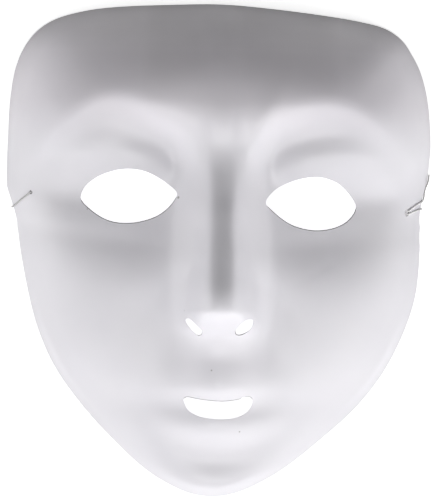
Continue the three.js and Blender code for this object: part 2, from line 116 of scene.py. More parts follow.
# The openings, as outlines seen from the front.
LEFT_EYE = [
    (-16.2, 21.9), (-19.6, 25.4), (-28, 30.1), (-36, 31.2), (-46, 28.7), (-52.5, 24), (-54, 19.2),
    (-50.5, 15.2), (-42.8, 10.7), (-33.2, 10), (-23.3, 13.1), (-17.8, 18),
]
RIGHT_EYE = [
    (18.6, 18.8), (21.5, 23.4), (29, 27.5), (38, 29.3), (46, 27.4), (51.6, 22.6), (54.2, 17.6),
    (51.8, 13), (46.4, 9.6), (38, 8.2), (28.6, 10.3), (21.8, 15),
]
MOUTH = [
    (-12.3, -58.4), (-11.2, -57.4), (-6.6, -58), (-1.9, -58.5), (3.5, -58.7), (9.8, -57.8), (12.2, -56.9),
    (14.2, -57.2), (14.8, -58.8), (13.6, -62.2), (10.6, -64.6), (6, -65.9), (-1, -66), (-6.8, -64.9),
    (-10.4, -62.8),
]
NOSTRIL_LEFT = [
    (-11.9, -27.2), (-11, -26.4), (-9.4, -27.2), (-5.5, -31.3), (-5.6, -32.6), (-6.8, -33.1), (-10.5, -29.7),
]
NOSTRIL_RIGHT = [
    (12.4, -26.3), (14.1, -26.7), (14.3, -27.8), (12.6, -30.9), (9.3, -32.7), (7.7, -32.4), (7.4, -31.2),
    (9.6, -28),
]

# Each temple has a hole for the elastic, and the trimmed edge arches up beside it.
TEMPLE_LEFT = dict(x=-74.1, y=21.7, hole=0.75, arch_y=16.2, arch_height=2.2, arch_half=8)
TEMPLE_RIGHT = dict(x=74.9, y=16.2, hole=1.35, arch_y=19.8, arch_height=2.3, arch_half=9)

# Small dark specks in the sheet: place and radius.
SPECKS = (
    (-12.4, -23.5, 0.35), (-1.5, -46.6, 0.4), (9.9, -71.1, 0.45), (-15.6, 20.4, 0.7), (-51.3, 15.4, 0.4),
)

# A faint crease pressed into the right cheek, from end to end.
CHEEK_CREASE = dict(depth=0.11, start=(32.3, -12.1), end=(48.2, -1.7), width=1.6)

# Tones and colours that multiply the sheet's own, by place in metres. The lowest part of the sheet, up to
# its rim, is painted a little greyer as shade. The forehead is a touch warmer than the face, painted lighter
# low on the forehead as a highlight, and painted greyer towards its top as shade.
RIM_SHADE_TONES = ((0.0, 0.895), (0.0045, 0.95), (0.012, 1))
FOREHEAD_TONE_AND_SHADE = (
    (0.040, (0.917, 0.917, 0.917)), (0.058, (0.917, 0.899, 0.908)), (0.066, (0.963, 0.944, 0.954)),
    (0.073, (1, 0.98, 0.99)), (0.078, (1, 0.98, 0.99)), (0.0825, (0.930, 0.912, 0.921)),
    (0.0856, (0.858, 0.840, 0.849)), (0.089, (0.785, 0.768, 0.777)), (0.092, (0.740, 0.724, 0.732)),
    (0.098, (0.691, 0.675, 0.683)),
)
# A faint band of painted shade with straight sides runs up the middle of the forehead: its middle, half its
# width, its tone, and how strong it is by height on the forehead.
BAND_MIDDLE = 0.0080
BAND_HALF = 0.0358
BAND_SHADE_TONE = 0.90
BAND_RISE = ((0.054, 0), (0.066, 0.6), (0.082, 0.6), (0.090, 1))
# The sides of the forehead are painted greyer too, as shade: tones by place across, and how strong they are
# by height on the forehead. A ramp needs places of 0 or more, so SIDE_SHIFT is added to the places across.
SIDE_SHADE_TONES = ((-0.084, 0.86), (-0.071, 0.94), (-0.060, 1), (0.046, 1), (0.061, 0.93), (0.084, 0.84))
SIDE_SHIFT = 0.1
SIDE_RISE = ((0.050, 0), (0.074, 1))

# The elastic: a round cord, with a knot behind each temple hole. CORD_GAP is the space between the cord
# and the sheet or a knot, and KNOT_GAP is what a knot has besides.
CORD = 0.8
CORD_GAP = 0.3
KNOT_GAP = 0.25
# A knot's room, the thickness of its turns, and its size across and through.
KNOT_RADIUS = 1.7
KNOT_CORD = 0.95
KNOT_SPREAD = 0.36
KNOT_DEPTH = 0.5
# The strands over the temples are stretched, so they are thinner than the slack cord, and they lie
# close on the sheet. The upper right one goes on as a loose end along the foot of the rim.
STRAND = 0.6
STRAND_LIFT = STRAND / 2 + 0.01
STRAND_SPREAD = 1.2
LOOSE_END = [
    (81.95, 22.4, 1.85), (82.2, 24.2, 0.85), (82.67, 26.2, 0.5),
    (83.59, 28.6, 0.5), (83.9, 30.5, 0.5), (84.05, 31.8, 0.5),
]
# The cord is painted greyer on the left and at the loose end, as shade: tones by place across, in metres.
CORD_SHADE_TONES = ((0.0, 0.57), (0.05, 1), (0.0812, 1), (0.0822, 0.50))
# The slack strap drops from each knot and lies under the mask in two waves behind the forehead.
STRAP_ROUTE = [
    (-73.2, 22.9, 7.3), (-70.9, 26.1, 3.5), (-69.7, 30.3, 1.2), (-69, 35.5, 0.5), (-66.6, 46.5, 0.5),
    (-61, 60, 0.5), (-51, 71, 0.5), (-39, 75, 0.5), (-28.5, 69, 0.5), (-21, 59, 0.5), (-12, 52, 0.5),
    (0, 50, 0.5), (12, 54, 0.5), (21, 64, 0.5), (30, 75, 0.5), (42, 79, 0.5), (54, 73, 0.5),
    (62, 61, 0.5), (67, 47, 0.5), (69.6, 34, 0.5), (70.6, 27, 0.7), (72.1, 22.1, 1.8), (73.95, 17.9, 3.2),
]


def clamp(value, low, high):
    return np.minimum(np.maximum(value, low), high)


def mix(start, end, share):
    return start + (end - start) * share


def ease(value):
    t = clamp(value, 0.0, 1.0)
    return t * t * (3 - 2 * t)


def bell(a, b, width, length):
    return np.exp(-((a / width) ** 2) - (b / length) ** 2)


def soft_positive(value, width):
    return 0.5 * (value + np.hypot(value, width))


def smooth_line(points, closed, per):
    """Points on the centripetal curve through the given points, per to each stretch."""
    p = np.array(points, float)
    n = len(p)
    if closed:
        p = np.vstack([p[-1], p, p[0], p[1]])
    else:
        p = np.vstack([2 * p[0] - p[1], p, 2 * p[-1] - p[-2]])
    t = (np.arange(per) / per)[:, None]
    out = []
    for i in range(n if closed else n - 1):
        a, b, c, d = p[i:i + 4]
        ab, bc, cd = (sqrt(np.linalg.norm(q - r)) for q, r in ((b, a), (c, b), (d, c)))
        go = ((b - a) / ab - (c - a) / (ab + bc) + (c - b) / bc) * bc
        come = ((c - b) / bc - (d - b) / (bc + cd) + (d - c) / cd) * bc
        out.append(b + go * t + (3 * (c - b) - 2 * go - come) * t**2 + (2 * (b - c) + go + come) * t**3)
    line = np.vstack(out)
    return line if closed else np.vstack([line, p[-2]])


def spaced(line, step, closed):
    """The same line with points at even distances near step."""
    loop = np.vstack([line, line[:1]]) if closed else line
    run = np.concatenate([[0], np.cumsum(np.linalg.norm(np.diff(loop, axis=0), axis=1))])
    count = max(3, round(run[-1] / step))
    at = np.linspace(0, run[-1], count + 1)
    even = np.stack([np.interp(at, run, loop[:, k]) for k in range(loop.shape[1])], axis=1)
    return even[:-1] if closed else even


EDGE_LINE = smooth_line(OUTLINE, True, 16)
EDGE_ANGLE = np.arctan2(EDGE_LINE[:, 1], EDGE_LINE[:, 0])
EDGE_ORDER = np.argsort(EDGE_ANGLE)
EDGE_ANGLE = EDGE_ANGLE[EDGE_ORDER]
EDGE_REACH = np.hypot(EDGE_LINE[:, 0], EDGE_LINE[:, 1])[EDGE_ORDER]


def edge_radius(angle):
    """Distance of the trimmed edge from the middle, in the direction of an angle."""
    return np.interp(angle, EDGE_ANGLE, EDGE_REACH, period=2 * pi)


def dome_setting(s, value):
    """A dome setting in the direction whose sine is s, mixed smoothly from chin, jaw, side and top."""
    lower = mix(value["chin"], value["jaw"], ease((s + 1) / (JAW_DIRECTION + 1)))
    middle = lower + (value["side"] - value["jaw"]) * ease((s - JAW_DIRECTION) / -JAW_DIRECTION)
    return middle + (value["top"] - value["side"]) * ease(s)


def dome_height(share, s):
    shoulder, power = dome_setting(s, DOME_ROUND), dome_setting(s, DOME_POWER)
    at_edge = (1 - DOME_REACH**shoulder) ** power
    rise = (1 - (share * DOME_REACH) ** shoulder) ** power
    return DOME_HEIGHT * (rise - at_edge) / (1 - at_edge)


def nose_height(across, y):
    length = NOSE["root"] - NOSE["tip"]
    along = NOSE["root"] - y
    rise = soft_positive(along, NOSE["root_soft"]) / length
    fall = (y - NOSE["foot"]) / (NOSE["tip"] - NOSE["foot"])
    profile = soft_positive(0.5 * (rise + fall - np.hypot(rise - fall, NOSE["tip_soft"])), 0.08)
    width = mix(NOSE["ridge"], NOSE["base"], clamp(along / length, 0, 1.3))
    return NOSE["height"] * profile * np.exp(-((across / width) ** NOSE["edge"]))


def feature_height(face_x, y):
    x = face_x - MIDLINE["shift"] * np.exp(-(((y - MIDLINE["y"]) / MIDLINE["spread"]) ** 2))
    across = np.hypot(x, 0.5)
    right = ease((x + 20) / 40)

    brow_y = mix(BROW["y_left"], BROW["y_right"], right) - BROW["arch"] * ((across - BROW["x"]) / 30) ** 2
    over_brow = y - brow_y
    lower = mix(BROW["lower_left"], BROW["lower_right"], right)
    brow_width = mix(lower, BROW["upper"], ease((over_brow + 5) / 10))
    brow = np.exp(-(((across - BROW["x"]) / BROW["half_length"]) ** 2))
    brow *= np.exp(-((np.hypot(over_brow, CREST) / brow_width) ** BROW["edge"]))
    z = mix(BROW["height_left"], BROW["height_right"], right) * brow

    orbit_x, orbit_y = across - ORBIT["x"], y - ORBIT["y"]
    orbit_width = mix(ORBIT["inner"], ORBIT["outer"], ease((orbit_x + 8) / 16))
    upper = mix(ORBIT["upper_left"], ORBIT["upper_right"], right)
    orbit_length = mix(ORBIT["lower"], upper, ease((orbit_y + 10) / 20))
    z -= ORBIT["depth"] * np.exp(-(np.hypot(orbit_x / orbit_width, orbit_y / orbit_length) ** ORBIT["edge"]))

    crease_arch = mix(CREASE["arch_left"], CREASE["arch_right"], right) * ((across - CREASE["x"]) / 20) ** 2
    over_crease = y - mix(CREASE["y_left"], CREASE["y_right"], right) + crease_arch
    crease_width = mix(CREASE["lower"], CREASE["upper"], ease((over_crease + 2) / 4))
    crease = np.exp(-(((across - CREASE["x"]) / CREASE["half_length"]) ** 2))
    crease *= np.exp(-((np.hypot(over_crease, CREST) / crease_width) ** CREASE["edge"]))
    z -= mix(CREASE["depth_left"], CREASE["depth_right"], right) * crease

    eyeball = bell(across - EYEBALL["x"], y - EYEBALL["y"], EYEBALL["width"], EYEBALL["length"])
    z += EYEBALL["height"] * eyeball
    z += nose_height(across, y)
    z += NOSE_TIP["height"] * bell(x, y - NOSE_TIP["y"], NOSE_TIP["width"], NOSE_TIP["width"])
    wing = bell(across - NOSE_WING["x"], y - NOSE_WING["y"], NOSE_WING["width"], NOSE_WING["length"])
    z += NOSE_WING["height"] * wing
    flank = ease((NOSE_FLANK["upper"] - y) / 30) * ease((y - NOSE_FLANK["lower"]) / 30)
    z += NOSE_FLANK["height"] * flank * np.exp(-((across / NOSE_FLANK["width"]) ** 2))
    z += CHEEK["height"] * bell(across - CHEEK["x"], y - CHEEK["y"], CHEEK["width"], CHEEK["length"])
    z += MUZZLE["height"] * bell(x, y - MUZZLE["y"], MUZZLE["width"], MUZZLE["length"])

    over_fold = y - FOLD["y"]
    fold = bell(across - FOLD["x"] + FOLD["lean"] * over_fold, over_fold, FOLD["width"], FOLD["length"])
    z -= FOLD["depth"] * fold
    z -= LIP_VALLEY["depth"] * bell(x, y - LIP_VALLEY["y"], LIP_VALLEY["width"], LIP_VALLEY["length"])
    over_valley = y - CHIN_VALLEY["y"] - CHIN_VALLEY["arch"] * x * x
    z -= CHIN_VALLEY["depth"] * bell(x, over_valley, CHIN_VALLEY["width"], CHIN_VALLEY["length"])
    z += CHIN["height"] * bell(x, y - CHIN["y"], CHIN["width"], CHIN["length"])

    over_rim = y - SOCKET_RIM["y"]
    from_rim = across - SOCKET_RIM["x"] - SOCKET_RIM["lean"] * over_rim
    rim = bell(from_rim, over_rim, SOCKET_RIM["width"], SOCKET_RIM["length"])
    z += mix(SOCKET_RIM["height_left"], SOCKET_RIM["height_right"], right) * rim
    from_hollow, over_hollow = across - TEMPLE_HOLLOW["x"], y - TEMPLE_HOLLOW["y"]
    hollow = bell(from_hollow, over_hollow, TEMPLE_HOLLOW["width"], TEMPLE_HOLLOW["length"])
    z -= TEMPLE_HOLLOW["depth"] * hollow
    z -= GLABELLA["depth"] * bell(x, y - GLABELLA["y"], GLABELLA["width"], GLABELLA["length"])
    z += UPPER_LIP["height"] * bell(x, y - UPPER_LIP["y"], UPPER_LIP["width"], UPPER_LIP["length"])
    z += LOWER_LIP["height"] * bell(x, y - LOWER_LIP["y"], LOWER_LIP["width"], LOWER_LIP["length"])
    return z


def cheek_crease(x, y):
    start, end = np.array(CHEEK_CREASE["start"]), np.array(CHEEK_CREASE["end"])
    half_length = np.linalg.norm(end - start) / 2
    way = (end - start) / (2 * half_length)
    along = (x - start[0]) * way[0] + (y - start[1]) * way[1] - half_length
    aside = (x - start[0]) * way[1] - (y - start[1]) * way[0]
    fall = -((aside / CHEEK_CREASE["width"]) ** 2) - (along / half_length) ** 4
    return CHEEK_CREASE["depth"] * np.exp(fall)


def face_height(x, y):
    """Height of the outer face over a point of the plan. The features fade out at the trimmed edge."""
    radius = np.hypot(x, y)
    share = clamp(radius / edge_radius(np.arctan2(y, x)), 0, 1)
    s = y / np.maximum(radius, 1e-9)
    features = feature_height(x, y) - cheek_crease(x, y)
    return dome_height(share, s) + features * ease((1 - share) / EDGE_BAND)


def face_normal(x, y, step=0.2):
    slope_x = (face_height(x + step, y) - face_height(x - step, y)) / (2 * step)
    slope_y = (face_height(x, y + step) - face_height(x, y - step)) / (2 * step)
    normal = np.stack([-slope_x, -slope_y, np.ones_like(slope_x)], axis=-1)
    return normal / np.linalg.norm(normal, axis=-1, keepdims=True)


def over_face(x, y, distance):
    """The point at a distance over the outer face; a negative distance lies in the sheet or behind it."""
    return np.array([x, y, face_height(x, y)]) + face_normal(x, y) * distance


def arch_height(temple, y):
    """Height of the trimmed edge at y beside a temple: 0 away from its arch."""
    half, high = temple["arch_half"], temple["arch_height"]
    radius = (half**2 + high**2) / (2 * high)
    inside = np.maximum(radius**2 - (y - temple["arch_y"]) ** 2, 0)
    return np.maximum(high - radius + np.sqrt(inside), 0)


def edge_floor(x, y):
    """Height that the sheet is trimmed to at a point near the edge."""
    return np.where(x > 0, arch_height(TEMPLE_RIGHT, y), arch_height(TEMPLE_LEFT, y))


def add_object(name, data, *materials):
    obj = bpy.data.objects.new(name, data)
    bpy.context.scene.collection.objects.link(obj)
    for material in materials:
        obj.data.materials.append(material)
    return obj


def make_camera():
    data = bpy.data.cameras.new("camera")
    data.sensor_width = SENSOR
    data.lens = SENSOR * CAMERA_HEIGHT / FRAME_HEIGHT
    data.clip_end = 10
    camera = add_object("camera", data)
    camera.location = (*CAMERA_AIM, CAMERA_HEIGHT)
    camera.rotation_euler = (0, 0, CAMERA_TURN)
    bpy.context.scene.camera = camera


# Where a Mix node has its two colours and its result when it mixes colours.
MIX_ONE, MIX_OTHER, MIX_RESULT = 6, 7, 2


def shader(name, color, roughness, specular):
    """A new material and its tree, with the even values set on the shader's own sockets."""
    material = bpy.data.materials.new(name)
    material.use_nodes = True
    tree = material.node_tree
    bsdf = tree.nodes["Principled BSDF"]
    bsdf.inputs["Base Color"].default_value = (*color, 1)
    bsdf.inputs["Roughness"].default_value = roughness
    bsdf.inputs["Specular IOR Level"].default_value = specular
    return material, tree, bsdf


def add_node(tree, kind, **settings):
    """A new node. Each setting goes to its socket of that name, or else to the node itself."""
    node = tree.nodes.new(kind)
    for key, value in settings.items():
        if key in node.inputs:
            node.inputs[key].default_value = value
        else:
            setattr(node, key, value)
    return node


def object_place(tree):
    return tree.nodes.new("ShaderNodeTexCoord").outputs["Object"]


def place_along(tree, place, axis, shift=0.0):
    """A point's place along an axis in metres, moved by a shift."""
    parts = tree.nodes.new("ShaderNodeSeparateXYZ")
    tree.links.new(place, parts.inputs[0])
    moved = add_node(tree, "ShaderNodeMath", operation="ADD")
    tree.links.new(parts.outputs[axis], moved.inputs[0])
    moved.inputs[1].default_value = shift
    return moved.outputs[0]


def noise(tree, place, scale, detail, roughness=0.5):
    node = add_node(tree, "ShaderNodeTexNoise", Scale=scale, Detail=detail, Roughness=roughness)
    tree.links.new(place, node.inputs["Vector"])
    return node.outputs["Fac"]


def ramp(tree, source, stops):
    """A colour ramp with stops of (position, colour or grey tone) from the lowest to the highest."""
    node = tree.nodes.new("ShaderNodeValToRGB")
    elements = node.color_ramp.elements
    elements[0].position, elements[1].position = stops[0][0], stops[-1][0]
    for position, _ in stops[1:-1]:
        elements.new(position)
    for element, (_, color) in zip(elements, stops):
        element.color = (*color, 1) if isinstance(color, tuple) else (color, color, color, 1)
    tree.links.new(source, node.inputs["Fac"])
    return node.outputs["Color"]


def multiplied(tree, color, *tints):
    """A colour multiplied by each of the tints."""
    for tint in tints:
        node = add_node(tree, "ShaderNodeMix", data_type="RGBA", blend_type="MULTIPLY")
        node.inputs["Factor"].default_value = 1.0
        tree.links.new(color, node.inputs[MIX_ONE])
        tree.links.new(tint, node.inputs[MIX_OTHER])
        color = node.outputs[MIX_RESULT]
    return color


def mixed(tree, share, one, other):
    """Two colours, each a socket or an even colour, mixed by the share of the second."""
    node = add_node(tree, "ShaderNodeMix", data_type="RGBA")
    tree.links.new(share, node.inputs["Factor"])
    for color, socket in ((one, node.inputs[MIX_ONE]), (other, node.inputs[MIX_OTHER])):
        if isinstance(color, tuple):
            socket.default_value = (*color, 1)
        else:
            tree.links.new(color, socket)
    return node.outputs[MIX_RESULT]


def add_bump(tree, bsdf, height, strength, distance):
    bump = add_node(tree, "ShaderNodeBump", Strength=strength, Distance=distance)
    tree.links.new(height, bump.inputs["Height"])
    tree.links.new(bump.outputs["Normal"], bsdf.inputs["Normal"])


def speck_amount(tree, place):
    """1 in the middle of each speck, falling to 0 at its edge."""
    amount = None
    for x, y, size in SPECKS:
        apart = add_node(tree, "ShaderNodeVectorMath", operation="DISTANCE")
        tree.links.new(place, apart.inputs[0])
        apart.inputs[1].default_value = Vector(over_face(x, y, 0)) * MM
        near = add_node(tree, "ShaderNodeMapRange", interpolation_type="SMOOTHSTEP")
        near.inputs["From Min"].default_value = size * MM
        near.inputs["From Max"].default_value = size * 0.4 * MM
        tree.links.new(apart.outputs["Value"], near.inputs["Value"])
        if amount is None:
            amount = near.outputs[0]
        else:
            both = add_node(tree, "ShaderNodeMath", operation="MAXIMUM")
            tree.links.new(amount, both.inputs[0])
            tree.links.new(near.outputs[0], both.inputs[1])
            amount = both.outputs[0]
    return amount


def band_shade(tree, place, up):
    """The band of painted shade up the middle of the forehead."""
    aside = add_node(tree, "ShaderNodeMath", operation="ABSOLUTE")
    tree.links.new(place_along(tree, place, "X", -BAND_MIDDLE), aside.inputs[0])
    inside = ramp(tree, aside.outputs[0], [(BAND_HALF - 0.002, 1), (BAND_HALF + 0.002, 0)])
    return ramp(tree, multiplied(tree, inside, ramp(tree, up, BAND_RISE)), [(0.0, 1), (1.0, BAND_SHADE_TONE)])


def side_shade(tree, place, up):
    """The painted shade on the sides of the forehead."""
    stops = [(SIDE_SHIFT + x, tone) for x, tone in SIDE_SHADE_TONES]
    sides = ramp(tree, place_along(tree, place, "X", SIDE_SHIFT), stops)
    return mixed(tree, ramp(tree, up, SIDE_RISE), (1, 1, 1), sides)


def sheet_material():
    """Satin white sheet: a faint cloudiness, a fine press grain, a few small specks, and painted shade and
    highlight.
    """
    material, tree, bsdf = shader("satin_sheet", (0.80, 0.79, 0.81), roughness=0.42, specular=0.4)
    place = object_place(tree)
    up = place_along(tree, place, "Y")
    stops = [(0.3, (0.847, 0.832, 0.879)), (0.7, (0.891, 0.875, 0.915))]
    cloud = ramp(tree, noise(tree, place, scale=28, detail=3), stops)
    paint = mixed(tree, speck_amount(tree, place), cloud, (0.46, 0.45, 0.44))
    # The rim tones are painted shade on the lowest part of the sheet.
    rim = ramp(tree, place_along(tree, place, "Z"), RIM_SHADE_TONES)
    # The forehead tints hold a warmer tone, a painted highlight low on the forehead and painted shade towards
    # its top.
    forehead = ramp(tree, up, FOREHEAD_TONE_AND_SHADE)
    # The band and the sides of the forehead are painted shade.
    band, sides = band_shade(tree, place, up), side_shade(tree, place, up)
    tree.links.new(multiplied(tree, paint, rim, forehead, band, sides), bsdf.inputs["Base Color"])
    sheen = ramp(tree, noise(tree, place, scale=60, detail=4), [(0.35, 0.38), (0.65, 0.47)])
    tree.links.new(sheen, bsdf.inputs["Roughness"])
    grain = noise(tree, place, scale=1400, detail=2, roughness=0.6)
    add_bump(tree, bsdf, grain, strength=0.06, distance=0.0002)
    return material


def shaded_cut_edge_material():
    """The raw cut edge of the sheet: rougher than its faces, with fine cutting marks, and painted dark grey
    as shade.
    """
    material, tree, bsdf = shader("cut_edge", (0.30, 0.30, 0.30), roughness=0.7, specular=0.3)
    marks = noise(tree, object_place(tree), scale=2200, detail=2)
    # The dark grey tones are painted shade along the cut edge.
    tone = ramp(tree, marks, [(0.3, (0.22, 0.22, 0.22)), (0.7, (0.38, 0.38, 0.37))])
    tree.links.new(tone, bsdf.inputs["Base Color"])
    return material


def elastic_material():
    """White braided elastic: fine crossing ridges with painted shade in their valleys, painted greyer at its
    ends.
    """
    material, tree, bsdf = shader("braided_elastic", (0.79, 0.78, 0.775), roughness=0.75, specular=0.2)
    place = object_place(tree)
    cross = add_node(tree, "ShaderNodeMath", operation="MAXIMUM")
    for socket, turn in zip(cross.inputs, (0.7, -0.7)):
        mapping = tree.nodes.new("ShaderNodeMapping")
        mapping.inputs["Rotation"].default_value = (0, turn, turn)
        tree.links.new(place, mapping.inputs["Vector"])
        wave = add_node(tree, "ShaderNodeTexWave", Scale=700.0, Distortion=1.5, Detail=1.0)
        tree.links.new(mapping.outputs["Vector"], wave.inputs["Vector"])
        tree.links.new(wave.outputs["Fac"], socket)
    # The valleys of the braid are painted darker than its ridges, as painted shade.
    shade = ramp(tree, cross.outputs[0], [(0.2, (0.73, 0.72, 0.715)), (0.8, (0.86, 0.85, 0.845))])
    # The left end and the loose end are painted greyer as shade.
    cord_shade = ramp(tree, place_along(tree, place, "X"), CORD_SHADE_TONES)
    tree.links.new(multiplied(tree, shade, cord_shade), bsdf.inputs["Base Color"])
    # Light spreads a little way inside the rubber and its white yarn.
    bsdf.inputs["Subsurface Weight"].default_value = 0.9
    bsdf.inputs["Subsurface Radius"].default_value = (1, 1, 1)
    bsdf.inputs["Subsurface Scale"].default_value = CORD * MM
    add_bump(tree, bsdf, cross.outputs[0], strength=0.3, distance=0.00006)
    return material


def cord_piece(name, line, material, diameter=CORD, closed=False):
    """A round cord along points in millimetres."""
    curve = bpy.data.curves.new(name, "CURVE")
    curve.dimensions = "3D"
    curve.bevel_depth = diameter / 2 * MM
    curve.bevel_resolution = 4
    curve.use_fill_caps = not closed
    spline = curve.splines.new("POLY")
    spline.points.add(len(line) - 1)
    spline.points.foreach_set("co", np.column_stack([np.array(line) * MM, np.ones(len(line))]).ravel())
    spline.use_cyclic_u = closed
    spline.use_smooth = True
    return add_object(name, curve, material)


def knot_place(temple):
    x, y = temple["x"], temple["y"]
    clear = WALL + CORD_GAP + KNOT_RADIUS + KNOT_GAP
    return np.array([x, y, face_height(x, y) - clear / face_normal(x, y)[2]])


def edge_at(temple, y):
    """Where the outer face comes down to the trimmed edge at y."""
    way = np.sign(temple["x"])
    height = arch_height(temple, y)
    low, high = abs(temple["x"]), abs(temple["x"]) + 12
    for _ in range(HALVINGS):
        middle = (low + high) / 2
        if face_height(way * middle, y) > height:
            low = middle
        else:
            high = middle
    return way * low, height


def to_the_edge(temple, hole_y, edge_x, edge_y, shares):
    """A strand's first points: out of the temple hole, then close over the face towards the edge."""

    def along(share, distance):
        return over_face(mix(temple["x"], edge_x, share), mix(hole_y, edge_y, share), distance)

    start = [along(0, -WALL + 0.1), along(0, 0.35), along(0.14, STRAND_LIFT + 0.1)]
    return start + [along(share, STRAND_LIFT) for share in shares]


def strand_points(temple, edge_y, shift, knot_side):
    """One strand: out of the temple hole, over the face, round the edge and back to the knot."""
    turn = CORD / 2 + CORD_GAP + 0.15
    hole_y = temple["y"] + shift
    way = np.sign(temple["x"])
    edge_x, edge_z = edge_at(temple, edge_y)
    normal = face_normal(edge_x - way * 0.5, edge_y)
    upslope = np.array([-way * normal[2], 0, abs(normal[0])])
    upslope /= np.linalg.norm(upslope)
    outer_edge = np.array([edge_x, edge_y, edge_z])
    inner_edge = outer_edge + np.array([-way * WALL / abs(normal[0]), 0, 0])
    knot = knot_place(temple)
    side = knot + np.array(knot_side)
    from_knot = (side - knot) / np.linalg.norm(side - knot) * (KNOT_RADIUS + CORD_GAP)

    def beside(point, x, z):
        return point + np.array([way * turn * x, 0, turn * z])

    return [
        *to_the_edge(temple, hole_y, edge_x, edge_y, (0.4, 0.75)),
        outer_edge + normal * turn + upslope * 0.5,
        beside(outer_edge, 0.5, -0.85),
        beside((outer_edge + inner_edge) / 2, 0, -1.05),
        beside(inner_edge, -0.85, -0.5),
        inner_edge + normal * (-turn - 0.25) + upslope * 1.2,
        side,
        knot + from_knot,
    ]


def loose_strand_points(temple, edge_y, shift):
    """The loose strand: out of the temple hole, over the face and the edge, and along the rim's foot."""
    edge_x, _ = edge_at(temple, edge_y)
    return [*to_the_edge(temple, temple["y"] + shift, edge_x, edge_y, (0.4, 0.7, 1)), *LOOSE_END]


def knot_line():
    """A small overhand knot, pulled tight, around the origin."""
    t = np.linspace(0, 2 * pi, 72, endpoint=False)
    x = np.sin(t) + 2 * np.sin(2 * t)
    y = np.cos(t) - 2 * np.cos(2 * t)
    return np.column_stack([KNOT_SPREAD * x, KNOT_SPREAD * y, -KNOT_DEPTH * np.sin(3 * t)])


def make_elastic(material):
    knots = []
    for name, temple in (("strap_knot_left", TEMPLE_LEFT), ("strap_knot_right", TEMPLE_RIGHT)):
        place = knot_place(temple)
        normal = Vector(face_normal(temple["x"], temple["y"]))
        turn = np.array(normal.to_track_quat("Z", "Y").to_matrix())
        line = knot_line() @ turn.T + place
        knot = cord_piece("tied_" + name, line, material, KNOT_CORD, closed=True)
        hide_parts(name)
        knots.append(knot)
    # Each strand's temple, where it crosses the edge, its shift at the hole, and its way off the knot.
    apart = STRAND_SPREAD / 2
    strands = (
        ("strap_loop_left", strand_points(TEMPLE_LEFT, 16.2, 0, (-1.6, -2.6, -1.6))),
        ("strap_loop_right_lower", strand_points(TEMPLE_RIGHT, 18, -apart, (2.2, -1.2, -1.2))),
        ("strap_loop_right_upper", loose_strand_points(TEMPLE_RIGHT, 21.2, apart)),
    )
    loops = []
    for name, points in strands:
        loop = cord_piece("round_" + name, smooth_line(points, False, 8), material, STRAND)
        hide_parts(name)
        loops.append(loop)
    strap = cord_piece("round_elastic_strap", smooth_line(STRAP_ROUTE, False, 8), material)
    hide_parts("elastic_strap")
    for piece in (*knots, *loops, strap):
        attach(piece, "root")


def temple_hole(temple):
    """The plan of a round hole that goes through the slanted wall at right angles."""
    normal = face_normal(temple["x"], temple["y"])
    across = np.cross(normal, (0, 1, 0))
    across /= np.linalg.norm(across)
    up = np.cross(normal, across)
    turns = np.linspace(0, 2 * pi, 20, endpoint=False)
    place = np.array([temple["x"], temple["y"], 0])
    ring = [place + temple["hole"] * (across * cos(a) + up * sin(a)) for a in turns]
    return np.array(ring)[:, :2]


def inside_loop(points, loop):
    """Which points of the plan lie inside a closed outline."""
    x, y = points[:, 0], points[:, 1]
    inside = np.zeros(len(points), bool)
    for (x0, y0), (x1, y1) in zip(loop, np.roll(loop, -1, axis=0)):
        if y0 != y1:
            inside ^= ((y0 > y) != (y1 > y)) & (x < (x1 - x0) * (y - y0) / (y1 - y0) + x0)
    return inside


def distance_to_loop(points, loop):
    """Distance of each point of the plan from the nearest point of a finely spaced outline."""
    fine = spaced(loop, FINE_STEP, True)
    out = np.empty(len(points))
    for i in range(0, len(points), BATCH):
        gap = points[i:i + BATCH, None] - fine[None]
        out[i:i + BATCH] = np.sqrt((gap**2).sum(-1).min(1))
    return out


def trimmed_edge():
    """The plan of the trimmed edge, drawn in where the temple arches cut into it."""
    edge = spaced(EDGE_LINE, EDGE_STEP, True)
    low = np.full(len(edge), 0.8)
    high = np.ones(len(edge))
    for _ in range(HALVINGS):
        middle = (low + high) / 2
        x, y = edge[:, 0] * middle, edge[:, 1] * middle
        over = face_height(x, y) >= edge_floor(x, y)
        low = np.where(over, middle, low)
        high = np.where(over, high, middle)
    return edge * low[:, None]


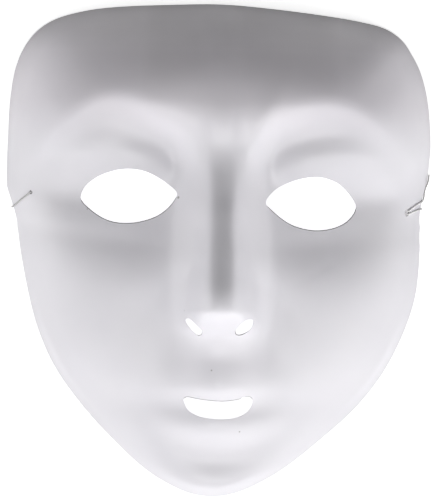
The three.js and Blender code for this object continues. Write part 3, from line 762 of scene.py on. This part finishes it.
def sheet_plan():
    """Plan points of the pierced sheet, its triangles and its outlines as runs of points."""
    edge = trimmed_edge()
    outlines = (LEFT_EYE, RIGHT_EYE, MOUTH, NOSTRIL_LEFT, NOSTRIL_RIGHT)
    holes = [
        spaced(smooth_line(outline, True, 12), step, True) for outline, step in zip(outlines, HOLE_STEPS)
    ]
    holes += [temple_hole(TEMPLE_LEFT), temple_hole(TEMPLE_RIGHT)]
    row = MESH_STEP * sqrt(3) / 2
    half_width, half_length = PLAN_HALF
    xs = np.arange(-half_width, half_width, MESH_STEP)
    rows = enumerate(np.arange(-half_length, half_length, row))
    grid = np.array([(x + (MESH_STEP / 2 if k % 2 else 0), y) for k, y in rows for x in xs])
    grid = grid[inside_loop(grid, edge)]
    grid = grid[distance_to_loop(grid, edge) > 0.55 * MESH_STEP]
    for hole in holes:
        low, high = hole.min(0) - 2, hole.max(0) + 2
        near = ((grid > low) & (grid < high)).all(1)
        drop = np.zeros(len(grid), bool)
        drop[near] = inside_loop(grid[near], hole) | (distance_to_loop(grid[near], hole) < 0.5 * MESH_STEP)
        grid = grid[~drop]
    loops = [edge, *holes]
    points = np.vstack([*loops, grid])
    runs, lines, start = [], [], 0
    for loop in loops:
        run = np.arange(start, start + len(loop))
        lines += list(zip(run.tolist(), np.roll(run, -1).tolist()))
        runs.append(run)
        start += len(loop)
    _, _, faces, origins, _, _ = delaunay_2d_cdt([Vector(p) for p in points], lines, [], 0, 1e-7)
    back = np.array([o[0] for o in origins])
    faces = back[np.array(faces)]
    middles = points[faces].mean(1)
    keep = inside_loop(middles, edge)
    for hole in holes:
        keep &= ~inside_loop(middles, hole)
    return points, faces[keep], runs


def cut_back(outline, burr, side):
    """The back edge of an opening cut straight down, with a burr into the opening on one side of it."""
    middle = outline.mean(0)
    along = np.roll(outline, -1, axis=0) - np.roll(outline, 1, axis=0)
    inward = np.column_stack([-along[:, 1], along[:, 0]]) / np.linalg.norm(along, axis=1, keepdims=True)
    inward *= np.sign(((middle - outline) * inward).sum(1, keepdims=True))
    return outline + inward * burr * ease(inward @ np.array(side) * 1.6)[:, None]


def make_shell(material, edge_material):
    points, faces, runs = sheet_plan()
    a, b, c = (points[faces[:, k]] for k in range(3))
    turned = (b[:, 0] - a[:, 0]) * (c[:, 1] - a[:, 1]) < (b[:, 1] - a[:, 1]) * (c[:, 0] - a[:, 0])
    faces[turned] = faces[turned][:, ::-1]
    x, y = points[:, 0], points[:, 1]
    normal = face_normal(x, y)
    outer = np.column_stack([x, y, face_height(x, y)])
    rim = runs[0]
    outer[rim, 2] = edge_floor(x[rim], y[rim])
    inner = outer - normal * WALL
    just_in = face_normal(x[rim] * 0.995, y[rim] * 0.995)
    level = np.hypot(just_in[:, 0], just_in[:, 1])[:, None]
    inner[rim, :2] = outer[rim, :2] - just_in[:, :2] * WALL / level**2
    inner[rim, 2] = outer[rim, 2]
    for run, burr in zip(runs[1:], BURRS):
        cut = cut_back(points[run], *burr)
        inner[run, :2] = cut
        inner[run, 2] = face_height(*cut.T) - WALL / face_normal(*cut.T)[:, 2]
    count = len(points)
    polygons = [*faces.tolist(), *(faces[:, ::-1] + count).tolist()]
    sharp = set()
    for number, run in enumerate(runs):
        pairs = list(zip(run.tolist(), np.roll(run, -1).tolist()))
        area = (x[run] * np.roll(y[run], -1) - np.roll(x[run], -1) * y[run]).sum()
        forward = (area > 0) == (number == 0)
        for i, j in pairs:
            quad = (i, i + count, j + count, j)
            polygons.append(quad if forward else quad[::-1])
            sharp.update((frozenset((i, j)), frozenset((i + count, j + count))))
    mesh = bpy.data.meshes.new("mask_sheet")
    mesh.from_pydata((np.vstack([outer, inner]) * MM).tolist(), [], polygons)
    mesh.update()
    mesh.shade_smooth()
    slots = np.zeros(len(polygons), np.int32)
    slots[2 * len(faces):] = 1
    mesh.polygons.foreach_set("material_index", slots)
    marks = np.array([frozenset(e.vertices) in sharp for e in mesh.edges])
    mesh.attributes.new("sharp_edge", "BOOLEAN", "EDGE")
    mesh.attributes["sharp_edge"].data.foreach_set("value", marks)
    shell = add_object("mask_sheet", mesh, material, edge_material)
    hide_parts("mask_shell")
    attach(shell, "root")


# The floor: how strongly it glows, the share of that glow away from the forehead, and its size and level.
FLOOR_GLOW = 0.68
FLOOR_EVEN = 0.82
FLOOR_HALF = 6.0
FLOOR_LEVEL = -0.0002


def make_floor():
    material, tree, bsdf = shader("pale_floor", (0.92, 0.92, 0.92), roughness=0.9, specular=0.1)
    place = object_place(tree)
    tone = ramp(tree, noise(tree, place, scale=40, detail=3), [(0.3, 0.91), (0.7, 0.93)])
    tree.links.new(tone, bsdf.inputs["Base Color"])
    # The paper glows evenly from below, and more just beyond the forehead: painted light that fills the
    # mask's shadow there.
    stops = [(0.086, FLOOR_EVEN), (0.100, 1), (0.112, 1), (0.135, FLOOR_EVEN)]
    tree.links.new(ramp(tree, place_along(tree, place, "Y"), stops), bsdf.inputs["Emission Color"])
    bsdf.inputs["Emission Strength"].default_value = FLOOR_GLOW
    mesh = bpy.data.meshes.new("floor")
    corners = [(x * FLOOR_HALF, y * FLOOR_HALF, 0) for x, y in ((-1, -1), (1, -1), (1, 1), (-1, 1))]
    mesh.from_pydata(corners, [], [(0, 1, 2, 3)])
    floor = add_object("floor", mesh, material)
    floor.location.z = FLOOR_LEVEL


# Soft boxes, all at one distance from the middle of the mask: name, degrees round it from +X towards +Y,
# degrees over the floor, size in metres, power in watts. The world gives no light besides.
LIGHT_DISTANCE = 1.1
LIGHTS = [
    ("right_low", 0, 8, 0.7, 3.35),
    ("left_low", 180, 8, 0.7, 3.35),
    ("chin_left_low", 225, 8, 0.7, 2.15),
    ("chin_right_low", 315, 8, 0.7, 2.85),
    ("left", 180, 32, 0.6, 1.25),
    ("chin_left", 225, 32, 0.6, 0.87),
    ("chin_right", 315, 32, 0.6, 2.75),
    ("chin_high", 270, 58, 0.5, 5.5),
]
WORLD_LIGHT = 0.0


def make_lights():
    for name, around, above, size, power in LIGHTS:
        data = bpy.data.lights.new(name, "AREA")
        data.energy = power
        data.size = size
        light = add_object(name, data)
        turn, rise = radians(around), radians(above)
        place = LIGHT_DISTANCE * Vector((cos(rise) * cos(turn), cos(rise) * sin(turn), sin(rise)))
        light.location = place
        light.rotation_euler = place.to_track_quat("Z", "Y").to_euler()
    world = bpy.data.worlds.new("studio")
    bpy.context.scene.world = world
    world.use_nodes = True
    back = world.node_tree.nodes["Background"]
    back.inputs["Color"].default_value = (1, 1, 1, 1)
    back.inputs["Strength"].default_value = WORLD_LIGHT


make_camera()
make_elastic(elastic_material())
make_shell(sheet_material(), shaded_cut_edge_material())
make_floor()
make_lights()

bpy.context.scene.view_settings.view_transform = "Standard"
